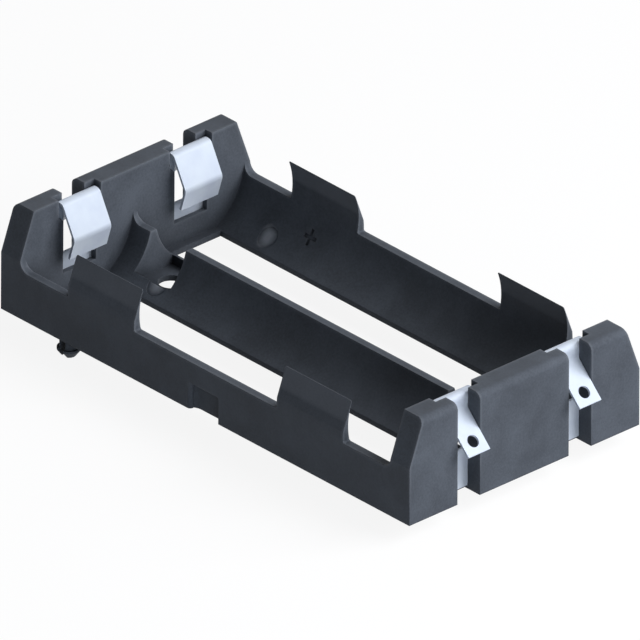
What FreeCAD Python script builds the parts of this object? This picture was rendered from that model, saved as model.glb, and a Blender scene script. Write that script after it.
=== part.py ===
import FreeCAD
import Part
import Sketcher
import os
import re

# Open holder for two 18650 cells side by side: one moulded body and four bent sheet contacts.
# Origin in the middle of the seat face under the body, X along the cells, Y across them, Z up.

doc = FreeCAD.newDocument("cell_holder")

# Every driving dimension in millimetres (angles in degrees), written once.
SIZES = [
    ("cell_diameter", 18.4, "an 18650 cell"),
    ("cell_length", 65.0, "the same cell"),
    ("cell_room", 0.02, "trough round the cell, each way"),
    ("cell_drop", 0.27, "how far the trough reaches below the seat face"),
    ("ridge_web", 0.56, "ridge between the troughs at its thinnest"),
    ("side_web", 0.93, "side wall at its thinnest"),
    ("spring_squeeze", 1.1, "how far a cell presses the two springs back"),
    ("end_wall", 3.55, "thickness of an end wall"),
    ("wall_rise", 5.6, "end wall above the cell axis"),
    ("edge_drop", 2.13, "low edge of the side wall and ridge below the cell axis"),
    ("wall_fillet", 1.5, "where the low edge rises into the end wall"),
    ("tab_rise", 3.4, "tip of a side tab above the cell axis"),
    ("tab_length", 12.32, "side tab along the cell"),
    ("tab_gap", 8.9, "side tab to the end wall"),
    ("tab_curve", 9.2, "radius of the outer face of a tab"),
    ("tab_sill", 0.48, "low edge to where that curve leaves the side wall"),
    ("tab_tip_round", 0.25, "upper corners of a tab"),
    ("tab_foot_round", 0.3, "lower corners of a tab"),
    ("shoulder_drop", 6.37, "top to where the side of an end wall starts to lean in"),
    ("shoulder_inset", 2.31, "how far it leans in at the top"),
    ("top_round", 1.0, "outer top edge of an end wall"),
    ("bottom_slot_width", 8.2, "opening under each cell"),
    ("bottom_slot_ledge", 1.15, "floor left between that opening and the end wall"),
    ("ledge_thickness", 0.8, "height of that floor, and of the floor round a screw"),
    ("recess_offset", 6.75, "mounting hole from the end wall"),
    ("screw_hole", 3.4, "clearance hole for a 3 mm screw"),
    ("screw_head", 6.0, "head of that screw"),
    ("head_room", 0.3, "square pocket round the head, each way"),
    ("gap_depth", 2.3, "outer face to the contact"),
    ("strip_thickness", 0.35, "sheet of a contact"),
    ("strip_width", 6.3, "width of a contact"),
    ("strip_play", 0.15, "room for the contact, each way"),
    ("strip_foot", 0.5, "ledge that the contact stands on"),
    ("slot_lap", 0.35, "shoulder over each edge of the contact's leg"),
    ("mouth_room", 0.45, "room beside the fold at the top of the inner slot"),
    ("slot_rise", 2.4, "where the inner slot starts to widen, above the cell axis"),
    ("spring_room", 2.75, "free end of the spring to the sill under it"),
    ("notch_left", 3.45, "start of the curved run-in, left of mid length"),
    ("notch_run", 1.7, "length of that run-in"),
    ("notch_right", 2.45, "sharp end, right of mid length"),
    ("notch_height", 3.8, "notch above the seat face"),
    ("notch_depth", 1.0, "notch into the side wall"),
    ("peg_offset", 11.1, "locating peg from the end face"),
    ("peg_edge", 1.5, "peg axis from the side face"),
    ("peg_neck", 2.5, "diameter under the seat face"),
    ("peg_head", 3.15, "diameter over the snap ring"),
    ("peg_tip", 1.8, "diameter at the end"),
    ("peg_neck_length", 1.4, "seat face to the snap ring"),
    ("peg_ring", 0.3, "straight height of the snap ring"),
    ("peg_length", 2.6, "seat face to the end"),
    ("peg_slot", 1.0, "slot that lets the peg spring"),
    ("peg_web", 0.25, "seat face to the end of that slot"),
    ("peg_root", 0.5, "how far the peg reaches into the body"),
    ("mark_offset", 1.12, "plus sign from the middle of a tab"),
    ("mark_angle", 34.2, "its direction below the cell axis"),
    ("mark_span", 2.2, "length of each bar"),
    ("mark_bar", 0.5, "width of each bar"),
    ("mark_depth", 0.25, "depth of the sign"),
    ("spot_offset", 7.9, "ejector marks from the end wall"),
    ("spot_angle", 49.6, "their direction below the cell axis"),
    ("spot_diameter", 2.9, "diameter of an ejector mark"),
    ("spot_depth", 0.15, "depth of an ejector mark"),
    ("fold_below", 0.45, "top of the end wall to the top of a contact"),
    ("fold_drop", 0.2, "how much lower its cell side is"),
    ("fold_reach", 1.55, "leg to the start of the spring"),
    ("crest_reach", 3.8, "leg to the crest that meets the cell"),
    ("crest_rise", 0.6, "crest above the cell axis"),
    ("tip_reach", 2.9, "leg to the free end of the spring"),
    ("tip_drop", 3.0, "crest to the free end of the spring"),
    ("fold_radius", 0.45, "inner radius of the two upper bends"),
    ("crest_radius", 0.7, "inner radius at the crest"),
    ("lug_rise", 3.46, "where the solder lug leaves the leg, above the cell axis"),
    ("lug_run", 4.3, "how far the lug reaches out"),
    ("lug_width", 3.65, "width of the solder lug"),
    ("lug_slit", 0.1, "shear cut beside the lug"),
    ("lug_play", 0.085, "room beside the lug in the end wall"),
    ("lug_angle", 45.0, "the lug below the horizontal"),
    ("lug_radius", 1.0, "inner radius of its bend"),
    ("lug_root", 0.8, "overlap of the lug with the leg above it"),
    ("lug_hole", 1.7, "hole in the lug"),
    ("lug_hole_edge", 1.75, "hole centre from the end of the lug"),
    ("window_length", 6.31, "window that the lug came out of"),
]

# Sizes that follow from those above.
FOLLOWING = {
    "trough_radius": "cell_diameter / 2 + cell_room",
    "axis_height": "trough_radius - cell_drop",
    "cell_pitch": "2 * trough_radius + ridge_web",
    "body_width": "cell_pitch + 2 * trough_radius + 2 * side_web",
    "body_length": "cell_length - spring_squeeze + 2 * (crest_reach + gap_depth)",
    "body_height": "axis_height + wall_rise",
    "inner_end": "body_length / 2 - end_wall",
    "low_edge_height": "axis_height - edge_drop",
    "tab_height": "axis_height + tab_rise",
    "tab_far": "inner_end - tab_gap",
    "tab_near": "tab_far - tab_length",
    "tab_curve_start": "low_edge_height + tab_sill",
    "shoulder_height": "body_height - shoulder_drop",
    "recess_centre": "inner_end - recess_offset",
    "recess_length": "screw_head + 2 * head_room",
    "gap_width": "lug_width + 2 * lug_play",
    "inner_slot_width": "strip_width - 2 * slot_lap",
    "inner_slot_mouth": "strip_width + 2 * mouth_room",
    "inner_slot_shoulder": "axis_height + slot_rise",
    "sill_height": "tip_height - spring_room",
    "peg_x": "body_length / 2 - peg_offset",
    "mark_x": "(tab_near + tab_far) / 2 + mark_offset",
    "spot_x": "inner_end - spot_offset",
    "fold_height": "body_height - fold_below",
    "crest_height": "axis_height + crest_rise",
    "tip_height": "crest_height - tip_drop",
    "lug_top": "axis_height + lug_rise",
    "lug_corner": "lug_top - (lug_radius + strip_thickness) * tan(lug_angle / 2)",
    "lug_end": "lug_corner - lug_run * tan(lug_angle)",
    "window_bottom": "lug_top - window_length",
}

sheet = doc.addObject("Spreadsheet::Sheet", "Sizes")
for row, (alias, number, note) in enumerate(SIZES, start=1):
    sheet.set(f"A{row}", note)
    sheet.set(f"B{row}", str(number))
    sheet.setAlias(f"B{row}", alias)
doc.recompute()


def refer(word):
    """One name of an expression: a following size is written out, any other points at the sheet."""
    name = word.group()
    return f"({sized(FOLLOWING[name])})" if name in FOLLOWING else "Sizes." + name


def sized(expression):
    """Expression text with every name turned into a reference to the sheet."""
    return re.sub(r"[a-z]\w*\b(?!\()", refer, expression)


def value(expression):
    """Number that an expression on the sizes gives now."""
    return float(sheet.evalExpression(sized(expression)))


def bind(thing, path, expression):
    thing.setExpression(path, sized(expression))


# Helpers for bodies and sketches.

def new_body(name):
    body = doc.addObject("PartDesign::Body", name)
    body.Label = name
    return body


def origin_item(body, role):
    return next(item for item in body.Origin.OriginFeatures if item.Role == role)


def new_sketch(body, name, role, base=("0", "0", "0"), tilt=0.0):
    """Sketch on an origin plane of the body, moved by three expressions and tilted about its own x."""
    sketch = body.newObject("Sketcher::SketchObject", name)
    sketch.AttachmentSupport = [(origin_item(body, role), "")]
    sketch.MapMode = "FlatFace"
    offset = FreeCAD.Vector(*[value(part) for part in base])
    turn = FreeCAD.Rotation(FreeCAD.Vector(1, 0, 0), tilt)
    sketch.AttachmentOffset = FreeCAD.Placement(offset, turn)
    for axis, part in zip("xyz", base):
        if part != "0":
            bind(sketch, f"AttachmentOffset.Base.{axis}", part)
    return sketch


def pin_point(sketch, curve, end, point):
    """Fix one end of a curve by its two coordinates, each an expression."""
    for kind, axis, part in (("DistanceX", -2, point[0]), ("DistanceY", -1, point[1])):
        if part == "0":
            sketch.addConstraint(Sketcher.Constraint("PointOnObject", curve, end, axis))
        else:
            rule = Sketcher.Constraint(kind, -1, 1, curve, end, value(part))
            bind(sketch, f"Constraints[{sketch.addConstraint(rule)}]", part)


def add_curve(sketch, start, end, radius=None):
    """Line, or arc with its centre left of the way from start to end; returns the curve and its ends."""
    first = FreeCAD.Vector(value(start[0]), value(start[1]), 0)
    last = FreeCAD.Vector(value(end[0]), value(end[1]), 0)
    if radius is None:
        return sketch.addGeometry(Part.LineSegment(first, last), False), 1, 2
    size = value(radius)
    half = (last - first) * 0.5
    rise = (size ** 2 - half.Length ** 2) ** 0.5
    side = FreeCAD.Vector(-half.y, half.x, 0).normalize()
    middle = first + half + side * rise
    circle = Part.Circle(middle, FreeCAD.Vector(0, 0, 1), size)
    arc = Part.ArcOfCircle(circle, circle.parameter(first), circle.parameter(last))
    curve = sketch.addGeometry(arc, False)
    rule = sketch.addConstraint(Sketcher.Constraint("Radius", curve, size))
    bind(sketch, f"Constraints[{rule}]", radius)
    return curve, 1, 2


def add_outline(sketch, points):
    """Closed outline; a point with a third entry starts an arc of that radius."""
    curves = []
    for index, point in enumerate(points):
        following = points[(index + 1) % len(points)]
        curves.append(add_curve(sketch, point, following, *point[2:]))
    for index, (curve, start, end) in enumerate(curves):
        following, next_start, next_end = curves[(index + 1) % len(curves)]
        sketch.addConstraint(Sketcher.Constraint("Coincident", curve, end, following, next_start))
        pin_point(sketch, curve, start, points[index])


def add_box(sketch, low_x, high_x, low_y, high_y):
    add_outline(sketch, [(low_x, low_y), (high_x, low_y), (high_x, high_y), (low_x, high_y)])


def add_circle(sketch, x, y, diameter):
    centre = FreeCAD.Vector(value(x), value(y), 0)
    size = value(diameter)
    curve = sketch.addGeometry(Part.Circle(centre, FreeCAD.Vector(0, 0, 1), size / 2), False)
    pin_point(sketch, curve, 3, (x, y))
    rule = sketch.addConstraint(Sketcher.Constraint("Diameter", curve, size))
    bind(sketch, f"Constraints[{rule}]", diameter)


def pad_both_ways(body, name, sketch, length):
    pad = body.newObject("PartDesign::Pad", name)
    pad.Profile = sketch
    pad.Midplane = True
    bind(pad, "Length", length)
    doc.recompute()
    return pad


def cut_both_ways(body, name, sketch, length=None):
    """Pocket to both sides of its sketch, through everything when no length is given."""
    before = body.Shape.Volume
    pocket = body.newObject("PartDesign::Pocket", name)
    pocket.Profile = sketch
    pocket.Midplane = True
    if length is None:
        pocket.Type = "ThroughAll"
    else:
        bind(pocket, "Length", length)
    doc.recompute()
    if body.Shape.Volume >= before:
        raise RuntimeError(name + " cuts nothing")
    return pocket


def cut_one_way(body, name, sketch, length=None, along_normal=False):
    before = body.Shape.Volume
    pocket = body.newObject("PartDesign::Pocket", name)
    pocket.Profile = sketch
    pocket.Reversed = along_normal
    if length is None:
        pocket.Type = "ThroughAll"
    else:
        bind(pocket, "Length", length)
    doc.recompute()
    if body.Shape.Volume >= before:
        raise RuntimeError(name + " cuts nothing")
    return pocket


def round_edges(body, name, base, radius, wanted):
    """Fillet the straight edges of a feature whose middle passes the test."""
    names = []
    for index, edge in enumerate(base.Shape.Edges, start=1):
        middle = edge.valueAt((edge.FirstParameter + edge.LastParameter) / 2)
        if wanted(middle):
            names.append(f"Edge{index}")
    if not names:
        raise RuntimeError(name + " finds no edge")
    fillet = body.newObject("PartDesign::Fillet", name)
    fillet.Base = (base, names)
    bind(fillet, "Radius", radius)
    doc.recompute()
    return fillet


def near(first, second):
    return abs(first - second) < 0.01


SIDES = (-1, 1)


def at_side(side, expression):
    """The expression as it stands, or with its sign changed for the other side."""
    return expression if side > 0 else f"-({expression})"


# The moulded body.

def make_moulded_body():
    body = new_body("moulded_body")

    # Whole block with the outline of the end walls.
    sketch = new_sketch(body, "end_outline", "YZ_Plane")
    half_top = "body_width / 2 - shoulder_inset"
    add_outline(sketch, [
        ("-body_width / 2", "0"),
        ("body_width / 2", "0"),
        ("body_width / 2", "shoulder_height"),
        (half_top, "body_height"),
        (f"-({half_top})", "body_height"),
        ("-body_width / 2", "shoulder_height"),
    ])
    block = pad_both_ways(body, "block", sketch, "body_length")
    half_length = value("body_length / 2")
    top = value("body_height")
    rounded = round_edges(body, "top_edges", block, "top_round",
                          lambda p: near(abs(p.x), half_length) and near(p.z, top))

    # Everything above the low edge is cleared between the end walls, except the side tabs.
    sketch = new_sketch(body, "side_profile", "XZ_Plane")
    above = "body_height + 1"
    add_outline(sketch, [
        ("-inner_end", above),
        ("-inner_end", "low_edge_height"),
        ("-tab_far", "low_edge_height"),
        ("-tab_far", "tab_height"),
        ("-tab_near", "tab_height"),
        ("-tab_near", "low_edge_height"),
        ("tab_near", "low_edge_height"),
        ("tab_near", "tab_height"),
        ("tab_far", "tab_height"),
        ("tab_far", "low_edge_height"),
        ("inner_end", "low_edge_height"),
        ("inner_end", above),
    ])
    cleared = cut_both_ways(body, "clearing", sketch)
    low = value("low_edge_height")
    tip = value("tab_height")
    end_x = value("inner_end")
    rounded = round_edges(body, "wall_corners", cleared, "wall_fillet",
                          lambda p: near(abs(p.x), end_x) and near(p.z, low))
    tab_ends = (value("tab_near"), value("tab_far"))
    rounded = round_edges(body, "tab_feet", rounded, "tab_foot_round",
                          lambda p: near(p.z, low) and any(near(abs(p.x), x) for x in tab_ends))
    round_edges(body, "tab_tips", rounded, "tab_tip_round",
                lambda p: near(p.z, tip) and any(near(abs(p.x), x) for x in tab_ends))

    # The ridge keeps the low edge: the tabs stand on the side walls only.
    sketch = new_sketch(body, "ridge_profile", "XZ_Plane")
    add_box(sketch, "-(tab_far + tab_foot_round)", "tab_far + tab_foot_round",
            "low_edge_height", above)
    cut_both_ways(body, "ridge_clearing", sketch, "cell_pitch")

    # The outer face of the tabs curves in from the side wall to a thin tip.
    sketch = new_sketch(body, "tab_outer_face", "YZ_Plane")
    beyond = "body_width / 2 + 1"
    lean = "(tab_curve - sqrt(tab_curve ^ 2 - (tab_height - tab_curve_start) ^ 2))"
    tip_y = f"body_width / 2 - {lean}"
    add_outline(sketch, [
        ("body_width / 2", "low_edge_height"),
        ("body_width / 2", "tab_curve_start", "tab_curve"),
        (tip_y, "tab_height"),
        (tip_y, above),
        (beyond, above),
        (beyond, "low_edge_height"),
    ])
    cut_both_ways(body, "tab_outside_far", sketch, "2 * (tab_far + tab_foot_round)")
    sketch = new_sketch(body, "tab_outer_face_near", "YZ_Plane")
    add_outline(sketch, [
        ("-body_width / 2", "low_edge_height"),
        (f"-({beyond})", "low_edge_height"),
        (f"-({beyond})", above),
        (f"-({tip_y})", above),
        (f"-({tip_y})", "tab_height", "tab_curve"),
        ("-body_width / 2", "tab_curve_start"),
    ])
    cut_both_ways(body, "tab_outside_near", sketch, "2 * (tab_far + tab_foot_round)")

    # Two round troughs; a strip of flat floor stays at each end of a trough.
    sketch = new_sketch(body, "trough_circles", "YZ_Plane")
    for side in SIDES:
        add_circle(sketch, at_side(side, "cell_pitch / 2"), "axis_height", "2 * trough_radius")
    cut_both_ways(body, "troughs", sketch, "2 * (inner_end - bottom_slot_ledge)")

    sketch = new_sketch(body, "trough_ends", "YZ_Plane")
    chord = "sqrt(trough_radius ^ 2 - (axis_height - ledge_thickness) ^ 2)"
    for side in SIDES:
        centre = at_side(side, "cell_pitch / 2")
        add_outline(sketch, [
            (f"{centre} - {chord}", "ledge_thickness"),
            (f"{centre} + {chord}", "ledge_thickness", "trough_radius"),
            (centre, "axis_height + trough_radius", "trough_radius"),
        ])
    cut_both_ways(body, "trough_end_pockets", sketch, "2 * inner_end")

    sketch = new_sketch(body, "bottom_slots", "XY_Plane")
    slot_end = "(inner_end - bottom_slot_ledge)"
    for side in SIDES:
        centre = at_side(side, "cell_pitch / 2")
        add_box(sketch, f"-{slot_end}", slot_end,
                f"{centre} - bottom_slot_width / 2", f"{centre} + bottom_slot_width / 2")
    cut_both_ways(body, "bottom_openings", sketch)

    # A square pocket breaks the ridge near each end; a screw's head stands on its thin floor.
    sketch = new_sketch(body, "ridge_breaks", "XY_Plane", ("0", "0", "ledge_thickness"))
    half = "recess_length / 2"
    for side in SIDES:
        centre = at_side(side, "recess_centre")
        add_box(sketch, f"{centre} - {half}", f"{centre} + {half}", f"-{half}", half)
    cut_one_way(body, "screw_recesses", sketch, along_normal=True)

    sketch = new_sketch(body, "screw_centres", "XY_Plane", ("0", "0", "ledge_thickness"))
    for side in SIDES:
        add_circle(sketch, at_side(side, "recess_centre"), "0", "screw_hole")
    doc.recompute()
    holes = body.newObject("PartDesign::Hole", "screw_holes")
    holes.Profile = sketch
    doc.recompute()
    holes.DepthType = "ThroughAll"
    bind(holes, "Diameter", "screw_hole")
    doc.recompute()

    # Each end wall is three blocks outside, with a gap on each cell axis.
    sketch = new_sketch(body, "end_gaps", "XY_Plane")
    groove_back = "(gap_depth + strip_thickness + strip_play)"
    for side in SIDES:
        for end in SIDES:
            centre = at_side(side, "cell_pitch / 2")
            outer = at_side(end, "body_length / 2 + 1")
            back = at_side(end, f"body_length / 2 - {groove_back}")
            low_x, high_x = (outer, back) if end < 0 else (back, outer)
            add_box(sketch, low_x, high_x, f"{centre} - gap_width / 2", f"{centre} + gap_width / 2")
    cut_both_ways(body, "gaps", sketch)

    # A groove behind the blocks holds the leg of the contact and is open at the top.
    sketch = new_sketch(body, "contact_grooves", "XY_Plane", ("0", "0", "strip_foot"))
    half_groove = "(strip_width / 2 + strip_play)"
    for side in SIDES:
        for end in SIDES:
            centre = at_side(side, "cell_pitch / 2")
            outer = at_side(end, "body_length / 2 - gap_depth")
            back = at_side(end, f"body_length / 2 - {groove_back}")
            low_x, high_x = (outer, back) if end < 0 else (back, outer)
            add_box(sketch, low_x, high_x, f"{centre} - {half_groove}", f"{centre} + {half_groove}")
    cut_one_way(body, "grooves", sketch, along_normal=True)

    # The cell side of the end wall is slotted for the spring, with shoulders that keep the leg in.
    sketch = new_sketch(body, "inner_slots", "YZ_Plane")
    widening = "inner_slot_shoulder + (inner_slot_mouth - inner_slot_width) / 2"
    for side in SIDES:
        centre = at_side(side, "cell_pitch / 2")
        narrow = "inner_slot_width / 2"
        wide = "inner_slot_mouth / 2"
        add_outline(sketch, [
            (f"{centre} - {narrow}", "sill_height"),
            (f"{centre} + {narrow}", "sill_height"),
            (f"{centre} + {narrow}", "inner_slot_shoulder"),
            (f"{centre} + {wide}", widening),
            (f"{centre} + {wide}", above),
            (f"{centre} - {wide}", above),
            (f"{centre} - {wide}", widening),
            (f"{centre} - {narrow}", "inner_slot_shoulder"),
        ])
    cut_both_ways(body, "spring_slots", sketch, "body_length - 2 * gap_depth")

    # Notch under the near side wall: curved run-in on the left, sharp on the right.
    sketch = new_sketch(body, "notch_plan", "XY_Plane")
    run = "((notch_run ^ 2 + notch_depth ^ 2) / (2 * notch_depth))"
    face = "-body_width / 2"
    add_outline(sketch, [
        ("-notch_left", f"{face} - 1"),
        ("notch_right", f"{face} - 1"),
        ("notch_right", f"{face} + notch_depth"),
        ("notch_run - notch_left", f"{face} + notch_depth", run),
        ("-notch_left", face),
    ])
    cut_one_way(body, "notch", sketch, "notch_height", along_normal=True)

    # Plus sign in the far trough, next to the end that takes the positive pole.
    reach = "(trough_radius + mark_depth)"
    sketch = new_sketch(body, "plus_sign", "XY_Plane",
                        ("-mark_x",
                         f"cell_pitch / 2 + {reach} * cos(mark_angle)",
                         f"axis_height - {reach} * sin(mark_angle)"),
                        -90 - value("mark_angle"))
    arm = "mark_span / 2"
    bar = "mark_bar / 2"
    add_outline(sketch, [
        (f"-{arm}", f"-{bar}"), (f"-{bar}", f"-{bar}"), (f"-{bar}", f"-{arm}"),
        (bar, f"-{arm}"), (bar, f"-{bar}"), (arm, f"-{bar}"),
        (arm, bar), (bar, bar), (bar, arm),
        (f"-{bar}", arm), (f"-{bar}", bar), (f"-{arm}", bar),
    ])
    cut_one_way(body, "plus_mark", sketch, "mark_depth * 2 + 0.5")

    # Round ejector marks on both sides of each trough, the inner ones cut short by the pockets.
    reach = "(trough_radius + spot_depth)"
    for side, word in zip(SIDES, ("near", "far")):
        for lean, sign, place in ((-1, "-", "inner"), (1, "+", "outer")):
            sketch = new_sketch(body, f"spots_{word}_{place}", "XY_Plane",
                                ("0",
                                 at_side(side, f"cell_pitch / 2 {sign} {reach} * cos(spot_angle)"),
                                 f"axis_height - {reach} * sin(spot_angle)"),
                                side * lean * (-90 - value("spot_angle")))
            for end in SIDES:
                add_circle(sketch, at_side(end, "spot_x"), "0", "spot_diameter")
            cut_one_way(body, f"ejector_marks_{word}_{place}", sketch, "spot_depth * 2 + 0.5")

    # Two split snap pegs under opposite corners.
    sketch = new_sketch(body, "peg_profile", "XZ_Plane",
                        ("-peg_x", "0", "body_width / 2 - peg_edge"))
    add_outline(sketch, [
        ("0", "peg_root"),
        ("0", "-peg_length"),
        ("peg_tip / 2", "-peg_length"),
        ("peg_head / 2", "-peg_neck_length - peg_ring"),
        ("peg_head / 2", "-peg_neck_length"),
        ("peg_neck / 2", "-peg_neck_length"),
        ("peg_neck / 2", "peg_root"),
    ])
    peg = body.newObject("PartDesign::Revolution", "peg")
    peg.Profile = sketch
    peg.ReferenceAxis = (sketch, ["V_Axis"])
    peg.Angle = 360
    doc.recompute()
    sketch = new_sketch(body, "peg_split", "XZ_Plane",
                        ("-peg_x", "0", "body_width / 2 - peg_edge"))
    add_box(sketch, "-peg_slot / 2", "peg_slot / 2", "-peg_length - 1", "-peg_web")
    split = cut_both_ways(body, "peg_slit", sketch, "peg_head + 1")
    pair = body.newObject("PartDesign::PolarPattern", "peg_pair")
    pair.Originals = [peg, split]
    pair.Axis = (origin_item(body, "Z_Axis"), [""])
    pair.Angle = 360
    pair.Occurrences = 2
    body.Tip = pair
    doc.recompute()
    return body


# One bent contact in its own frame: outer face of the leg at x = 0, x outwards, z up.

def add_strip(sketch, points, thickness, inner_side):
    """Section of a folded strip: one face runs through the points, the other lies on the inner side.

    Returns the corners of that other face."""
    spots = [FreeCAD.Vector(value(x), value(z), 0) for x, z in points]
    gap = value(thickness)
    ways = [(second - first).normalize() for first, second in zip(spots, spots[1:])]
    normals = [FreeCAD.Vector(-way.y, way.x, 0) * inner_side for way in ways]
    others = [spots[0] + normals[0] * gap]
    for spot, before, after in zip(spots[1:], normals, normals[1:]):
        spread = before + after
        others.append(spot + spread * (2 * gap / spread.Length ** 2))
    others.append(spots[-1] + normals[-1] * gap)

    chains = []
    for corners in (spots, others):
        lines = [sketch.addGeometry(Part.LineSegment(first, second), False)
                 for first, second in zip(corners, corners[1:])]
        for first, second in zip(lines, lines[1:]):
            sketch.addConstraint(Sketcher.Constraint("Coincident", first, 2, second, 1))
        chains.append(lines)
    face, back = chains

    for place, end in ((0, 1), (-1, 2)):
        cap = sketch.addGeometry(Part.LineSegment(spots[place], others[place]), False)
        sketch.addConstraint(Sketcher.Constraint("Coincident", cap, 1, face[place], end))
        sketch.addConstraint(Sketcher.Constraint("Coincident", cap, 2, back[place], end))
        sketch.addConstraint(Sketcher.Constraint("Perpendicular", cap, face[place]))
    for line, point in zip(face, points):
        pin_point(sketch, line, 1, point)
    pin_point(sketch, face[-1], 2, points[-1])
    for front, rear in zip(face, back):
        sketch.addConstraint(Sketcher.Constraint("Parallel", front, rear))
        rule = sketch.addConstraint(Sketcher.Constraint("Distance", rear, 1, front, gap))
        bind(sketch, f"Constraints[{rule}]", thickness)
    return others


def round_bends(body, name, base, radius, corners):
    """Round the edges across the strip that pass through the given corners of its section."""
    return round_edges(body, name, base, radius,
                       lambda p: any(near(p.x, corner.x) and near(p.z, corner.y) for corner in corners))


def make_contact(name, end, side):
    body = new_body(name)

    # Leg, fold and spring: the outer face of the leg, the top and the cell face of the spring.
    sketch = new_sketch(body, "strip_section", "XZ_Plane")
    points = [
        ("0", "strip_foot"),
        ("0", "fold_height"),
        ("-fold_reach", "fold_height - fold_drop"),
        ("-crest_reach", "crest_height"),
        ("-tip_reach", "tip_height"),
    ]
    inner = add_strip(sketch, points, "strip_thickness", 1)
    outer = [FreeCAD.Vector(value(x), value(z), 0) for x, z in points]
    strip = pad_both_ways(body, "strip", sketch, "strip_width")
    strip = round_bends(body, "fold_outside", strip, "fold_radius + strip_thickness", outer[1:3])
    strip = round_bends(body, "fold_inside", strip, "fold_radius", inner[1:3])
    strip = round_bends(body, "crest_outside", strip, "crest_radius + strip_thickness", outer[3:4])
    round_bends(body, "crest_inside", strip, "crest_radius", inner[3:4])

    # The solder lug is cut out of the leg and bent outwards, which leaves a window.
    sketch = new_sketch(body, "window_outline", "YZ_Plane")
    half_window = "(lug_width / 2 + lug_slit)"
    add_box(sketch, f"-{half_window}", half_window, "window_bottom", "lug_top")
    cut_both_ways(body, "window", sketch, "2.5 * strip_thickness")

    sketch = new_sketch(body, "lug_section", "XZ_Plane")
    points = [
        ("0", "lug_top + lug_root"),
        ("0", "lug_corner"),
        ("lug_run", "lug_end"),
    ]
    inner = add_strip(sketch, points, "strip_thickness", -1)
    outer = [FreeCAD.Vector(value(x), value(z), 0) for x, z in points]
    lug = pad_both_ways(body, "lug", sketch, "lug_width")
    lug = round_bends(body, "lug_bend_upper", lug, "lug_radius", outer[1:2])
    round_bends(body, "lug_bend_lower", lug, "lug_radius + strip_thickness", inner[1:2])

    sketch = new_sketch(body, "lug_hole_centre", "YZ_Plane",
                        ("0",
                         "lug_end + lug_hole_edge * sin(lug_angle)",
                         "lug_run - lug_hole_edge * cos(lug_angle)"),
                        value("lug_angle") - 90)
    add_circle(sketch, "0", "0", "lug_hole")
    cut_both_ways(body, "lug_eye", sketch, "5 * strip_thickness")

    turn = FreeCAD.Rotation(FreeCAD.Vector(0, 0, 1), 0 if end > 0 else 180)
    body.Placement = FreeCAD.Placement(FreeCAD.Vector(), turn)
    bind(body, "Placement.Base.x", at_side(end, "body_length / 2 - gap_depth"))
    bind(body, "Placement.Base.y", at_side(side, "cell_pitch / 2"))
    doc.recompute()
    return body


def finish(bodies):
    doc.recompute()
    for item in doc.Objects:
        for word in ("Invalid", "Error"):
            if word in item.State:
                raise RuntimeError(f"{item.Label} is {item.State}")
    for body in bodies:
        shape = body.Shape
        if shape.isNull() or not shape.isValid() or len(shape.Solids) != 1:
            raise RuntimeError(body.Label + " has no sound solid")
    os.makedirs("parts", exist_ok=True)
    for body in bodies:
        body.Shape.exportStep(f"parts/{body.Label}.step")
        print(body.Label, round(body.Shape.Volume, 2), body.Shape.BoundBox)


bodies = [make_moulded_body()]
for end, end_word in zip(SIDES, ("left", "right")):
    for side, side_word in zip(SIDES, ("near", "far")):
        bodies.append(make_contact(f"contact_{end_word}_{side_word}", end, side))
finish(bodies)
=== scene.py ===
import math
import bpy
from mathutils import Matrix, Vector


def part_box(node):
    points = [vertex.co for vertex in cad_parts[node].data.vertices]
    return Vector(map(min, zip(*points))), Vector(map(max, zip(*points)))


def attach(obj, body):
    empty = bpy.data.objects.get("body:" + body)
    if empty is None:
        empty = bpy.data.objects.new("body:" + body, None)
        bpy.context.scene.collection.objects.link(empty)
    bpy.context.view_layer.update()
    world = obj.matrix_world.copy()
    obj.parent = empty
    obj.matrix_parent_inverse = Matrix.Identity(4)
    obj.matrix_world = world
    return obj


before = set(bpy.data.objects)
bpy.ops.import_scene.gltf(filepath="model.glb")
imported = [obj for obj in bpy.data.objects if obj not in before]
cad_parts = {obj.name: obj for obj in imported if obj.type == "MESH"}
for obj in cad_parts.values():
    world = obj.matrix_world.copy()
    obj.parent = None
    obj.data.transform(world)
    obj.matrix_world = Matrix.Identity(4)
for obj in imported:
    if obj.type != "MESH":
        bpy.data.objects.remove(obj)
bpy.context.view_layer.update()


# Moulded body
# One black glass-filled nylon moulding: end walls, side walls with tabs, the ridge and the pegs.
# The mould was spark eroded, which leaves a fine dull grain; its ejector pins left round marks.

def linear(code):
    """Linear colour of an sRGB hex value."""
    parts = [int(code[place:place + 2], 16) / 255 for place in (1, 3, 5)]
    straight = [part / 12.92 if part <= 0.04045 else ((part + 0.055) / 1.055) ** 2.4
                for part in parts]
    return (*straight, 1.0)


def add_node(tree, kind, settings=None, **links):
    """Adds a node. Settings are its properties and sockets; links are the outputs that feed its
    sockets, by name with _ for a space, or by number as in i0."""
    node = tree.nodes.new(kind)
    for key, entry in (settings or {}).items():
        if isinstance(key, int) or key in node.inputs:
            node.inputs[key].default_value = entry
        else:
            setattr(node, key, entry)
    for key, output in links.items():
        place = int(key[1:]) if key[1:].isdigit() else key.replace("_", " ")
        tree.links.new(output, node.inputs[place])
    return node


def new_material(name):
    """Material with an empty node tree, and the tree."""
    material = bpy.data.materials.new(name)
    material.use_nodes = True
    material.node_tree.nodes.clear()
    return material, material.node_tree


# The black drifts a little where the melt flowed, in clouds of some 6 mm.
PLASTIC_LOW = "#41454b"
PLASTIC_HIGH = "#50555c"
FLOW_CLOUD = 0.006
CLOUD_SHARE = 0.55
GRAIN_SHARE = 0.45
LOW_SHADE = 0.38
HIGH_SHADE = 0.64

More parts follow.
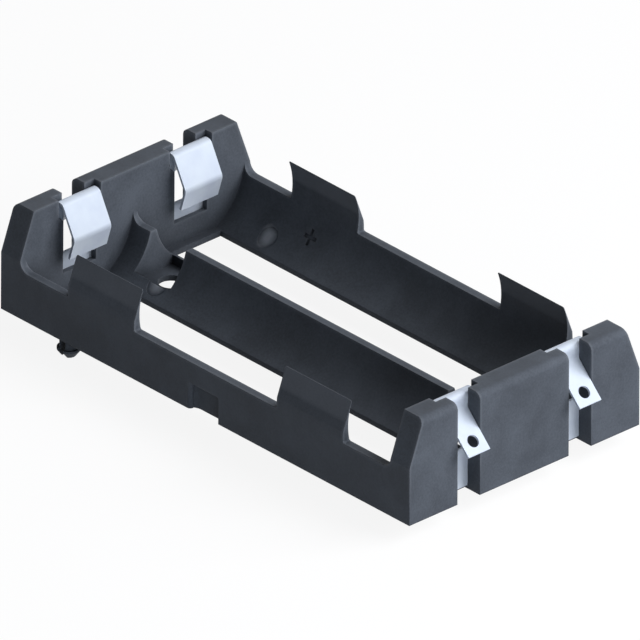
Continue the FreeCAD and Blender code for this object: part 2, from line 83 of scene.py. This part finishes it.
# The eroded grain is really about 0.04 mm across and wouldn't show, so it is drawn 0.32 mm coarse.
EROSION_GRAIN = 0.00032
PITS_PER_GRAIN = 0.7
PIT_SHARE = -0.4
GRAIN_DEPTH = 0.00003
GRAIN_STRENGTH = 0.35
GRAIN_LOW = 0.3
GRAIN_HIGH = 0.7
LEAST_ROUGH = 0.46
MOST_ROUGH = 0.64
NYLON_IOR = 1.53
NYLON_SPECULAR = 0.1
EDGE_SOFTNESS = 0.00018

# Painted shade: the colour darkens in hollows, where faces up to 4 mm away hide much of the sky.
PLASTIC_PAINTED_SHADE = "#1c1e22"
HOLLOW_REACH = 0.004
FULLY_OPEN = 0.88

# Paler rims, half a millimetre wide: partly rubbed, from the height at which fingers reach them,
# and partly a painted highlight along the upper edges.
PLASTIC_RUBBED_AND_HIGHLIT = "#767a80"
PALE_RIM_WIDTH = 0.0005
PALE_RIM_SHARE = 0.34
RIM_STARTS = 0.97
RIM_FULL = 0.5
PALE_RIM_FROM_HEIGHT = 0.002
PALE_RIM_FULL_HEIGHT = 0.006

# Smeared pale spots at the eight ejector marks. All fold onto one mark: 26.6 mm from mid length,
# 5.98 mm beside a cell's axis and 1.92 mm up. The smear moves a spot's edge in and out by noise,
# which is a half on average, so half of the smear is in the two radii at which the spot fades.
POLISHED = "#94989e"
POLISHED_SHARE = 0.8
POLISHED_GLOSS = -0.2
CELL_AXIS = (0.0, 0.0095, 0.0)
EJECTOR_MARK = (0.0266, 0.00598, 0.00192)
EJECTOR_RADIUS = 0.0014
SMEAR = 0.0032
SPOT_ENDS = EJECTOR_RADIUS + SMEAR / 2 + 0.0003
SPOT_FULL = EJECTOR_RADIUS + SMEAR / 2 - 0.0007

# Rays for each of the nodes that look around a point.
SOFT_SAMPLES = 6


def spark_eroded_nylon():
    """Black glass-filled nylon from a spark-eroded mould: dull, finely pitted, slightly cloudy."""
    material, tree = new_material("spark_eroded_black_nylon")
    place = add_node(tree, "ShaderNodeTexCoord").outputs["Object"]
    grain = add_node(tree, "ShaderNodeTexNoise",
                     {"Scale": 1 / EROSION_GRAIN, "Detail": 3.0, "Roughness": 0.6}, Vector=place)
    cloud = add_node(tree, "ShaderNodeTexNoise",
                     {"Scale": 1 / FLOW_CLOUD, "Detail": 4.0, "Roughness": 0.55,
                      "Distortion": 0.4}, Vector=place)
    pits = add_node(tree, "ShaderNodeTexVoronoi",
                    {"Scale": PITS_PER_GRAIN / EROSION_GRAIN, "Randomness": 1.0}, Vector=place)
    shade = add_node(tree, "ShaderNodeMath",
                     {"operation": "MULTIPLY_ADD", 1: CLOUD_SHARE, 2: 0.0},
                     i0=cloud.outputs["Fac"])
    shade = add_node(tree, "ShaderNodeMath", {"operation": "MULTIPLY_ADD", 1: GRAIN_SHARE},
                     i0=grain.outputs["Fac"], i2=shade.outputs[0])
    colour = add_node(tree, "ShaderNodeValToRGB", Fac=shade.outputs[0])
    low, high = colour.color_ramp.elements
    low.position, low.color = LOW_SHADE, linear(PLASTIC_LOW)
    high.position, high.color = HIGH_SHADE, linear(PLASTIC_HIGH)

    # Painted shade: slots, notches and corners are darkened where nearby faces hide the sky; open
    # faces keep the full colour.
    open_share = add_node(tree, "ShaderNodeAmbientOcclusion",
                          {"Distance": HOLLOW_REACH, "samples": SOFT_SAMPLES,
                           "only_local": True})
    unshaded_share = add_node(tree, "ShaderNodeMapRange",
                      {"From Min": 0.0, "From Max": FULLY_OPEN, "To Min": 0.0, "To Max": 1.0},
                      Value=open_share.outputs["AO"])
    colour = add_node(tree, "ShaderNodeMix", {"data_type": "RGBA", 6: linear(PLASTIC_PAINTED_SHADE)},
                      i0=unshaded_share.outputs[0], i7=colour.outputs["Color"])

    # The upper rims and rounded edges are palest, partly rubbed and partly a painted highlight;
    # the ones near the board keep the plain colour.
    inner_share = add_node(tree, "ShaderNodeAmbientOcclusion",
                           {"Distance": PALE_RIM_WIDTH, "samples": SOFT_SAMPLES,
                            "only_local": True, "inside": True})
    height = add_node(tree, "ShaderNodeSeparateXYZ", Vector=place)
    rim_height_share = add_node(tree, "ShaderNodeMapRange",
                       {"From Min": PALE_RIM_FROM_HEIGHT, "From Max": PALE_RIM_FULL_HEIGHT,
                        "To Min": 0.0, "To Max": PALE_RIM_SHARE}, Value=height.outputs["Z"])
    rim = add_node(tree, "ShaderNodeMapRange",
                   {"From Min": RIM_STARTS, "From Max": RIM_FULL, "To Min": 0.0},
                   Value=inner_share.outputs["AO"], To_Max=rim_height_share.outputs[0])
    colour = add_node(tree, "ShaderNodeMix", {"data_type": "RGBA", 7: linear(PLASTIC_RUBBED_AND_HIGHLIT)},
                      i0=rim.outputs[0], i6=colour.outputs[2])

    # The flat ends of the ejector pins leave smoother, paler spots on both sides of each trough.
    folded = add_node(tree, "ShaderNodeVectorMath", {"operation": "ABSOLUTE"}, i0=place)
    folded = add_node(tree, "ShaderNodeVectorMath", {"operation": "SUBTRACT", 1: CELL_AXIS},
                      i0=folded.outputs[0])
    folded = add_node(tree, "ShaderNodeVectorMath", {"operation": "ABSOLUTE"},
                      i0=folded.outputs[0])
    away = add_node(tree, "ShaderNodeVectorMath", {"operation": "DISTANCE", 1: EJECTOR_MARK},
                    i0=folded.outputs[0])
    ragged = add_node(tree, "ShaderNodeMath", {"operation": "MULTIPLY_ADD", 1: SMEAR},
                      i0=cloud.outputs["Fac"], i2=away.outputs["Value"])
    spot = add_node(tree, "ShaderNodeMapRange",
                    {"From Min": SPOT_ENDS, "From Max": SPOT_FULL,
                     "To Min": 0.0, "To Max": POLISHED_SHARE}, Value=ragged.outputs[0])
    colour = add_node(tree, "ShaderNodeMix", {"data_type": "RGBA", 7: linear(POLISHED)},
                      i0=spot.outputs[0], i6=colour.outputs[2])
    rough = add_node(tree, "ShaderNodeMapRange",
                     {"From Min": GRAIN_LOW, "From Max": GRAIN_HIGH,
                      "To Min": LEAST_ROUGH, "To Max": MOST_ROUGH},
                     Value=grain.outputs["Fac"])
    rough = add_node(tree, "ShaderNodeMath", {"operation": "MULTIPLY_ADD", 1: POLISHED_GLOSS},
                     i0=spot.outputs[0], i2=rough.outputs[0])

    # Pits in the grain, on edges that the mould leaves a little soft.
    soft = add_node(tree, "ShaderNodeBevel",
                    {"Radius": EDGE_SOFTNESS, "samples": SOFT_SAMPLES})
    relief = add_node(tree, "ShaderNodeMath", {"operation": "MULTIPLY_ADD", 1: PIT_SHARE},
                      i0=pits.outputs["Distance"], i2=grain.outputs["Fac"])
    bump = add_node(tree, "ShaderNodeBump",
                    {"Strength": GRAIN_STRENGTH, "Distance": GRAIN_DEPTH},
                    Height=relief.outputs[0], Normal=soft.outputs[0])
    shader = add_node(tree, "ShaderNodeBsdfPrincipled",
                      {"IOR": NYLON_IOR, "Metallic": 0.0, "Specular IOR Level": NYLON_SPECULAR},
                      Base_Color=colour.outputs[2], Roughness=rough.outputs[0],
                      Normal=bump.outputs[0])
    add_node(tree, "ShaderNodeOutputMaterial", Surface=shader.outputs[0])
    return material


moulded_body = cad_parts["moulded_body"]
moulded_body.data.materials.clear()
black_nylon = spark_eroded_nylon()
moulded_body.data.materials.append(black_nylon)


# Notch corner
# The left jamb of the notch under the near side wall, moulded in one with the body.
# It squares the curved run-in of the solid and rounds the outer edge, in the same nylon.

WALL_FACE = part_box("moulded_body")[0][1]
NOTCH_HEIGHT = 0.0038
NOTCH_DEPTH = 0.001
# The run-in curves from the wall's face to the full depth of the notch.
RUN_START = -0.00345
RUN_END = -0.00175
JAMB_X = -0.00281
JAMB_ROUND = 0.0005
# The corner sinks this far into the body, so that no gap shows.
SEATED = 0.00002
ARC_STEPS = 10


def notch_corner():
    """Upright prism between the run-in of the notch and its square, rounded jamb."""
    run = RUN_END - RUN_START
    run_radius = (run ** 2 + NOTCH_DEPTH ** 2) / (2 * NOTCH_DEPTH)
    plan = [(RUN_START, WALL_FACE)]
    for step in range(ARC_STEPS + 1):
        angle = math.radians(-90 + 90 * step / ARC_STEPS)
        plan.append((JAMB_X - JAMB_ROUND + JAMB_ROUND * math.cos(angle),
                     WALL_FACE + JAMB_ROUND + JAMB_ROUND * math.sin(angle)))
    # The last point of the run-in is the first of the plan, so it is left out.
    for step in range(ARC_STEPS):
        x = JAMB_X + (RUN_START - JAMB_X) * step / ARC_STEPS
        rise = math.sqrt(run_radius ** 2 - (RUN_END - x) ** 2)
        plan.append((x, WALL_FACE + NOTCH_DEPTH - run_radius + rise + SEATED))
    count = len(plan)
    corners = [(x, y, z) for z in (0.0, NOTCH_HEIGHT + SEATED) for x, y in plan]
    faces = [tuple(reversed(range(count))), tuple(range(count, 2 * count))]
    faces += [(place, (place + 1) % count, count + (place + 1) % count, count + place)
              for place in range(count)]
    mesh = bpy.data.meshes.new("notch_corner")
    mesh.from_pydata(corners, [], faces)
    mesh.materials.append(black_nylon)
    piece = bpy.data.objects.new("notch_corner", mesh)
    bpy.context.scene.collection.objects.link(piece)
    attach(piece, "root")


notch_corner()


# Contacts
# Four strips of spring steel sheet with bright tin plating, each folded over at the top of its end
# wall. Rolling left fine lines along the strip; the plating is a little cloudy.

TIN = "#ccd5e0"
TIN_DULL = "#c4cddb"
PLATING_CLOUD = 0.0025
BRIGHT_ABOVE = 0.65
DULL_BELOW = 0.35
TIN_METALLIC = 0.4
TIN_ROUGHNESS = 0.46
CLOUD_ROUGHNESS = 0.14
# The rolling lines are really some 0.03 mm apart and wouldn't show, so they are drawn 0.22 mm
# apart. They are stretched along the strip, which runs in X and Z.
ROLLING_LINE = 0.00022
LINE_STRETCH = (0.03, 1.0, 0.03)
LINE_DEPTH = 0.00001
LINE_STRENGTH = 0.25


def tin_plated_strip():
    """Bright tin on spring steel: a cool white metal with fine rolling lines along the strip."""
    material, tree = new_material("tin_plated_spring_steel")
    place = add_node(tree, "ShaderNodeTexCoord").outputs["Object"]
    along = add_node(tree, "ShaderNodeMapping", {"Scale": LINE_STRETCH}, Vector=place)
    lines = add_node(tree, "ShaderNodeTexNoise",
                     {"Scale": 1 / ROLLING_LINE, "Detail": 2.0, "Roughness": 0.6},
                     Vector=along.outputs[0])
    cloud = add_node(tree, "ShaderNodeTexNoise",
                     {"Scale": 1 / PLATING_CLOUD, "Detail": 3.0, "Roughness": 0.5},
                     Vector=place)
    colour = add_node(tree, "ShaderNodeValToRGB", Fac=cloud.outputs["Fac"])
    dull, bright = colour.color_ramp.elements
    dull.position, dull.color = DULL_BELOW, linear(TIN_DULL)
    bright.position, bright.color = BRIGHT_ABOVE, linear(TIN)
    rough = add_node(tree, "ShaderNodeMath",
                     {"operation": "MULTIPLY_ADD", 1: CLOUD_ROUGHNESS, 2: TIN_ROUGHNESS},
                     i0=cloud.outputs["Fac"])
    bump = add_node(tree, "ShaderNodeBump",
                    {"Strength": LINE_STRENGTH, "Distance": LINE_DEPTH},
                    Height=lines.outputs["Fac"])
    shader = add_node(tree, "ShaderNodeBsdfPrincipled", {"Metallic": TIN_METALLIC},
                      Base_Color=colour.outputs["Color"], Roughness=rough.outputs[0],
                      Normal=bump.outputs[0])
    add_node(tree, "ShaderNodeOutputMaterial", Surface=shader.outputs[0])
    return material


contact_metal = tin_plated_strip()
for name in ("contact_left_near", "contact_left_far", "contact_right_near", "contact_right_far"):
    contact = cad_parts[name]
    contact.data.materials.clear()
    contact.data.materials.append(contact_metal)


# Floor, light and camera
# A white table just under the pegs, a broad lamp on the right, a weak low one and a pale room.
# The camera looks down on the near right corner, as in the photograph, without perspective.

FLOOR_BELOW = 0.0026
FLOOR_HALF = 2.0
FLOOR_WHITE = "#fdfdfd"
FLOOR_BOUNCE = "#8f9297"
GLOW_SHARE = 0.89
WHITE = "#ffffff"

floor_mesh = bpy.data.meshes.new("table")
floor_mesh.from_pydata(
    [(-FLOOR_HALF, -FLOOR_HALF, -FLOOR_BELOW), (FLOOR_HALF, -FLOOR_HALF, -FLOOR_BELOW),
     (FLOOR_HALF, FLOOR_HALF, -FLOOR_BELOW), (-FLOOR_HALF, FLOOR_HALF, -FLOOR_BELOW)],
    [], [(0, 1, 2, 3)])
floor = bpy.data.objects.new("table", floor_mesh)
bpy.context.scene.collection.objects.link(floor)


def seen_as_white(tree):
    """Output that is 1 for what the camera, gloss or clear pieces see, and 0 for the lighting."""
    path = add_node(tree, "ShaderNodeLightPath")
    seen = add_node(tree, "ShaderNodeMath", {"operation": "MAXIMUM"},
                    i0=path.outputs["Is Camera Ray"], i1=path.outputs["Is Glossy Ray"])
    seen = add_node(tree, "ShaderNodeMath", {"operation": "MAXIMUM"},
                    i0=seen.outputs[0], i1=path.outputs["Is Transmission Ray"])
    return seen.outputs[0]


# The table looks white and keeps a soft shadow, but throws only a mid grey light back up.
table_paint, tree = new_material("white_table")
seen = seen_as_white(tree)
share = add_node(tree, "ShaderNodeMath", {"operation": "MULTIPLY", 1: GLOW_SHARE}, i0=seen)
tint = add_node(tree, "ShaderNodeMix",
                {"data_type": "RGBA", 6: linear(FLOOR_BOUNCE), 7: linear(FLOOR_WHITE)}, i0=seen)
paint = add_node(tree, "ShaderNodeBsdfDiffuse", Color=tint.outputs[2])
glow = add_node(tree, "ShaderNodeEmission", {"Color": linear(WHITE), "Strength": 1.0})
blend = add_node(tree, "ShaderNodeMixShader", Fac=share.outputs[0], i1=paint.outputs[0],
                 i2=glow.outputs[0])
add_node(tree, "ShaderNodeOutputMaterial", Surface=blend.outputs[0])
floor_mesh.materials.append(table_paint)

# The room looks white too, and lights the object only faintly.
ROOM_TINT = "#e6ecf6"
ROOM_LIGHT = 0.1

room = bpy.data.worlds.new("room")
room.use_nodes = True
tree = room.node_tree
tree.nodes.clear()
dim = add_node(tree, "ShaderNodeBackground", {"Color": linear(ROOM_TINT), "Strength": ROOM_LIGHT})
white = add_node(tree, "ShaderNodeBackground", {"Color": linear(WHITE), "Strength": 1.0})
both = add_node(tree, "ShaderNodeMixShader", Fac=seen_as_white(tree), i1=dim.outputs[0],
                i2=white.outputs[0])
add_node(tree, "ShaderNodeOutputWorld", Surface=both.outputs[0])
bpy.context.scene.world = room

LAMP_DISTANCE = 0.6


def add_lamp(name, toward, width, watts, tint):
    """Square lamp in the given direction from the object, facing it."""
    lamp = bpy.data.lights.new(name, "AREA")
    lamp.size = width
    lamp.energy = watts
    lamp.color = linear(tint)[:3]
    stand = bpy.data.objects.new(name, lamp)
    way = Vector(toward).normalized()
    stand.location = way * LAMP_DISTANCE
    stand.rotation_euler = way.to_track_quat("Z", "Y").to_euler()
    stand.visible_glossy = False
    bpy.context.scene.collection.objects.link(stand)


add_lamp("right_lamp", toward=(0.66, 0.47, 0.62), width=0.5, watts=6.0, tint="#fafbff")
add_lamp("near_lamp", toward=(0.90, -0.42, 0.12), width=0.35, watts=2.0, tint="#f0f6ff")

# Fitted to the straight edges of the moulding in the photograph.
CAMERA_AZIMUTH = math.radians(47.33)
CAMERA_ELEVATION = math.radians(29.03)
CAMERA_ROLL = math.radians(0.29)
CAMERA_DISTANCE = 0.4
CLIP_NEAR = 0.01
CLIP_FAR = 5.0
PHOTO_WIDTH = 0.0806
ORIGIN_BELOW_MIDDLE = 0.00587

across = Vector((math.cos(CAMERA_AZIMUTH), math.sin(CAMERA_AZIMUTH), 0.0))
backward = Vector((math.sin(CAMERA_AZIMUTH) * math.cos(CAMERA_ELEVATION),
                   -math.cos(CAMERA_AZIMUTH) * math.cos(CAMERA_ELEVATION),
                   math.sin(CAMERA_ELEVATION)))
upward = backward.cross(across)
side = across * math.cos(CAMERA_ROLL) + upward * math.sin(CAMERA_ROLL)
top = upward * math.cos(CAMERA_ROLL) - across * math.sin(CAMERA_ROLL)
turn = Matrix((side, top, backward)).transposed().to_4x4()
camera_place = top * ORIGIN_BELOW_MIDDLE + backward * CAMERA_DISTANCE

lens = bpy.data.cameras.new("camera")
lens.type = "ORTHO"
lens.ortho_scale = PHOTO_WIDTH
lens.clip_start = CLIP_NEAR
lens.clip_end = CLIP_FAR
camera = bpy.data.objects.new("camera", lens)
camera.matrix_world = Matrix.Translation(camera_place) @ turn
bpy.context.scene.collection.objects.link(camera)
bpy.context.scene.camera = camera
bpy.context.scene.view_settings.view_transform = "Standard"
